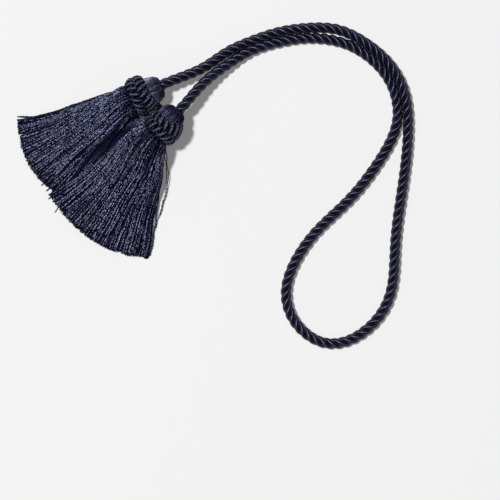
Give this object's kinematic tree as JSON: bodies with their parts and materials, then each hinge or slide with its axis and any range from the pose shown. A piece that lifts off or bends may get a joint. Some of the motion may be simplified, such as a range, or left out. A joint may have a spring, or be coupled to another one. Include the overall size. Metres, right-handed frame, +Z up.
{
  "type": "curtain tieback tassel",
  "caption": "Twisted satin rope lying in a loose loop, with a fringed tassel, domed head and knotted collar at each end, for holding a curtain back.",
  "frame": {"origin": "on the surface that it lies on, under the middle of the two tassels' box", "axes": "+Z up from the surface; seen from above with the tassels at the left and the rope's loop at the right, +X points to the right and +Y to the top"},
  "size_m": [0.2467, 0.2021, 0.0287],
  "materials": {
    "rope_satin": "dark navy satin cord, three strands laid right-handed",
    "hank_yarn": "dark navy crinkled yarn with a soft sheen",
    "collar_cord": "dark navy thin cord, knotted into a woven ring"
  },
  "bodies": {
    "root": {"rope": "rope_satin", "front_hank": "hank_yarn", "rear_hank": "hank_yarn", "front_collar": "collar_cord", "rear_collar": "collar_cord"}
  },
  "joints": []
}
